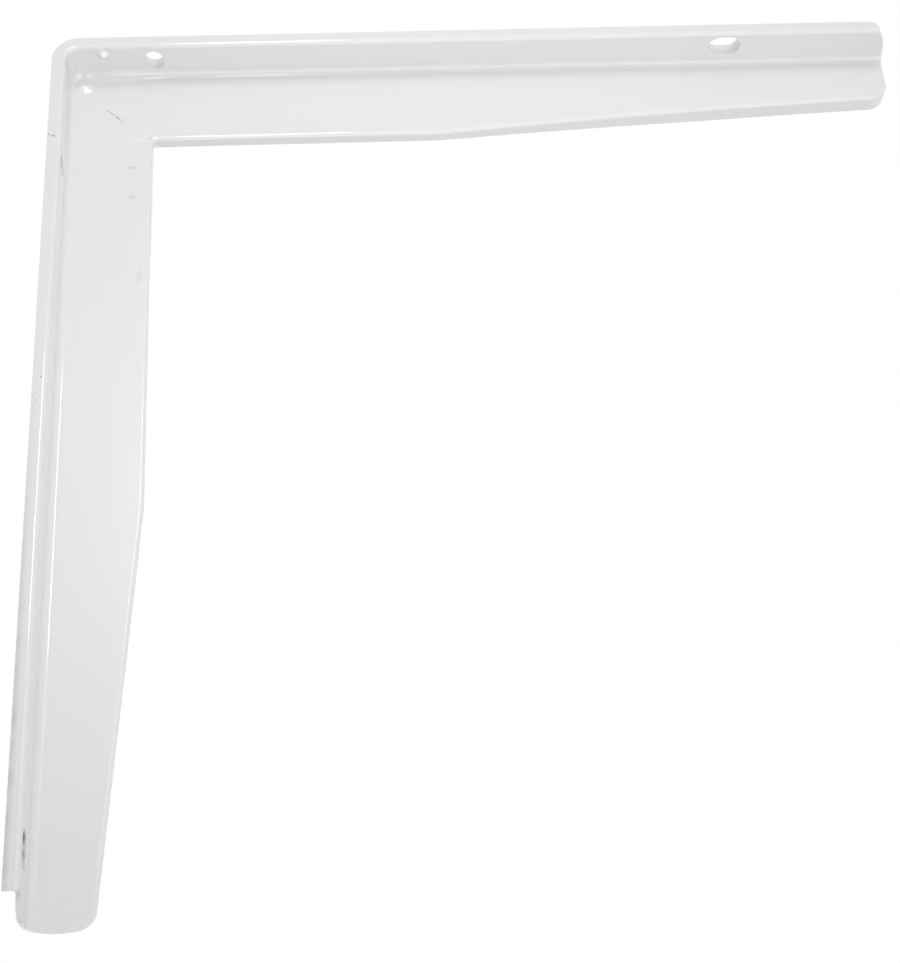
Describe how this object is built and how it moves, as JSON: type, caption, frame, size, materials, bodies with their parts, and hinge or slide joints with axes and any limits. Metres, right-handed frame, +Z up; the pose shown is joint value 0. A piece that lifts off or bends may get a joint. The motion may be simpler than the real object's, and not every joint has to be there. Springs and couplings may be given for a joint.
{
  "type": "shelf bracket",
  "caption": "L-shaped pressed sheet-steel shelf bracket with an outward rim, a screw flange, a broad tapering web and a turned-back lip.",
  "frame": {"origin": "centre of the upper wall hole, on the wall plane that the rim's edge and the hole collars touch", "axes": "+X out from the wall along the shelf arm, +Z up along the wall arm towards the shelf, -Y towards the side that the rim is on"},
  "size_m": [0.3, 0.0208, 0.3196],
  "materials": {
    "white_coat": "gloss white powder coat"
  },
  "bodies": {
    "root": {"bracket": "white_coat"}
  },
  "joints": []
}
